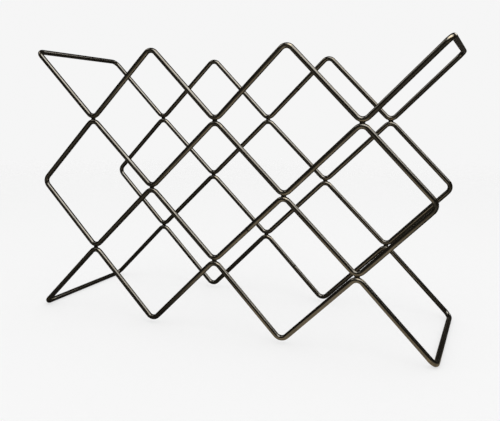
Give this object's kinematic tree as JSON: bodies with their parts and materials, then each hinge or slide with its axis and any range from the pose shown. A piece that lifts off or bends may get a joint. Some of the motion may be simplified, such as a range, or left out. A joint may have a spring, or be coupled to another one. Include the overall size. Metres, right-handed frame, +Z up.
{
  "type": "wine rack",
  "caption": "Countertop wine rack of bent round wire: two lattice faces of diamond cells joined by end rods, holding bottles lying down in the cells and in the open V cradles on top.",
  "frame": {"origin": "on the surface the rack stands on, under the middle of the rack", "axes": "+X along the width, to the right as seen from the front; +Y from the front face to the rear face; +Z up"},
  "size_m": [0.45, 0.1574, 0.298],
  "materials": {
    "wire": "satin, dark bronze plated steel wire",
    "weld": "satin, darker plated weld metal"
  },
  "bodies": {
    "root": {"top_loop_wire": "wire", "base_loop_wire": "wire", "front_lattice_wire": "wire", "rear_lattice_wire": "wire", "top_loop_seam": "weld", "base_loop_seam": "weld", "front_lattice_seam": "weld", "rear_lattice_seam": "weld", "front_upper_weld_left": "weld", "front_upper_weld_centre": "weld", "front_upper_weld_right": "weld", "front_middle_weld_left": "weld", "front_middle_weld_right": "weld", "front_lower_weld_left": "weld", "front_lower_weld_centre": "weld", "front_lower_weld_right": "weld", "rear_upper_weld_left": "weld", "rear_upper_weld_centre": "weld", "rear_upper_weld_right": "weld", "rear_middle_weld_left": "weld", "rear_middle_weld_right": "weld", "rear_lower_weld_left": "weld", "rear_lower_weld_centre": "weld", "rear_lower_weld_right": "weld"}
  },
  "joints": []
}
